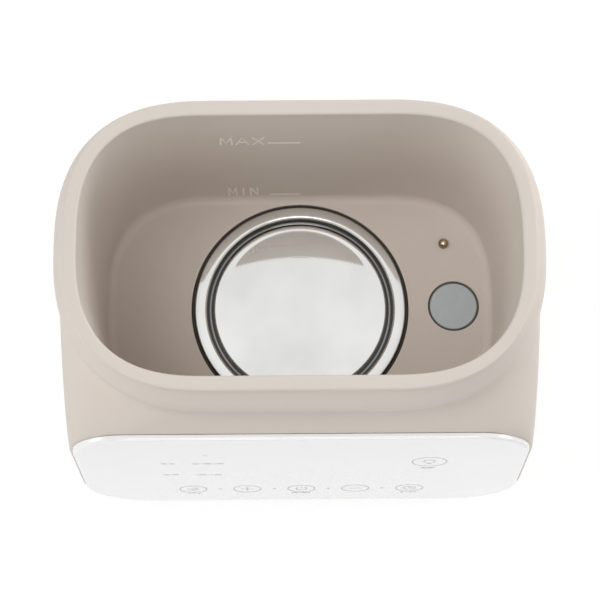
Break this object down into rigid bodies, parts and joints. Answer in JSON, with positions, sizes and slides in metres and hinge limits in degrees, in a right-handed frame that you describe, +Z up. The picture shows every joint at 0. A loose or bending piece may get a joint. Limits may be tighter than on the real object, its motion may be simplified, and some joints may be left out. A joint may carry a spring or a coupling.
{
  "type": "double bottle warmer",
  "caption": "Countertop double bottle warmer: an open oval water tank with a heated floor plate, in a collared casing with a leaning flat touch panel.",
  "frame": {"origin": "on the surface it stands on, under the middle of the outline", "axes": "+Z up, +X to the right of someone facing the touch panel, -Y out of the touch panel"},
  "size_m": [0.1938, 0.1434, 0.14],
  "materials": {
    "casing": "fine matt moulding",
    "tank": "fine matt moulding",
    "panel": "gloss white",
    "plate": "satin pressed stainless",
    "seal": "dark silicone",
    "probe": "polished",
    "lens": "translucent blue-grey",
    "circuit_board": "solder mask",
    "spring_steel": "plated wire",
    "display": "potted",
    "indicator": "clear epoxy",
    "fastener": "zinc plated",
    "clamp": "zinc plated sheet",
    "spreader": "cast",
    "element": "oxidised sheath",
    "phenolic": "moulded phenolic",
    "fuse": "plated case",
    "holder": "moulded",
    "relay": "moulded case",
    "transformer": "taped winding",
    "capacitor": "sleeved can",
    "terminal": "moulded",
    "base": "fine matt moulding",
    "foot": "moulded rubber",
    "gland": "moulded nylon"
  },
  "bodies": {
    "root": {"outer_casing": "casing", "water_tank": "tank", "front_panel": "panel", "touch_board": "circuit_board", "key_springs": "spring_steel", "display_module": "display", "mode_leds": "indicator", "touch_board_screws": "fastener", "heating_plate": "plate", "plate_seal": "seal", "clamp_ring": "clamp", "clamp_screws": "fastener", "heat_spreader": "spreader", "heating_element": "element", "cutout_thermostat": "phenolic", "thermal_fuse": "fuse", "fuse_clip": "clamp", "temperature_probe": "probe", "probe_seal": "seal", "probe_nut": "probe", "lamp_lens": "lens", "lens_seal": "seal", "lamp_holder": "holder", "lamp_board": "circuit_board", "lamp_screws": "fastener", "power_board": "circuit_board", "relay": "relay", "transformer": "transformer", "filter_capacitors": "capacitor", "terminal_block": "terminal", "power_board_screws": "fastener", "base_cover": "base", "base_screws": "fastener", "rubber_feet": "foot", "cord_gland": "gland", "gland_nut": "gland"}
  },
  "joints": []
}
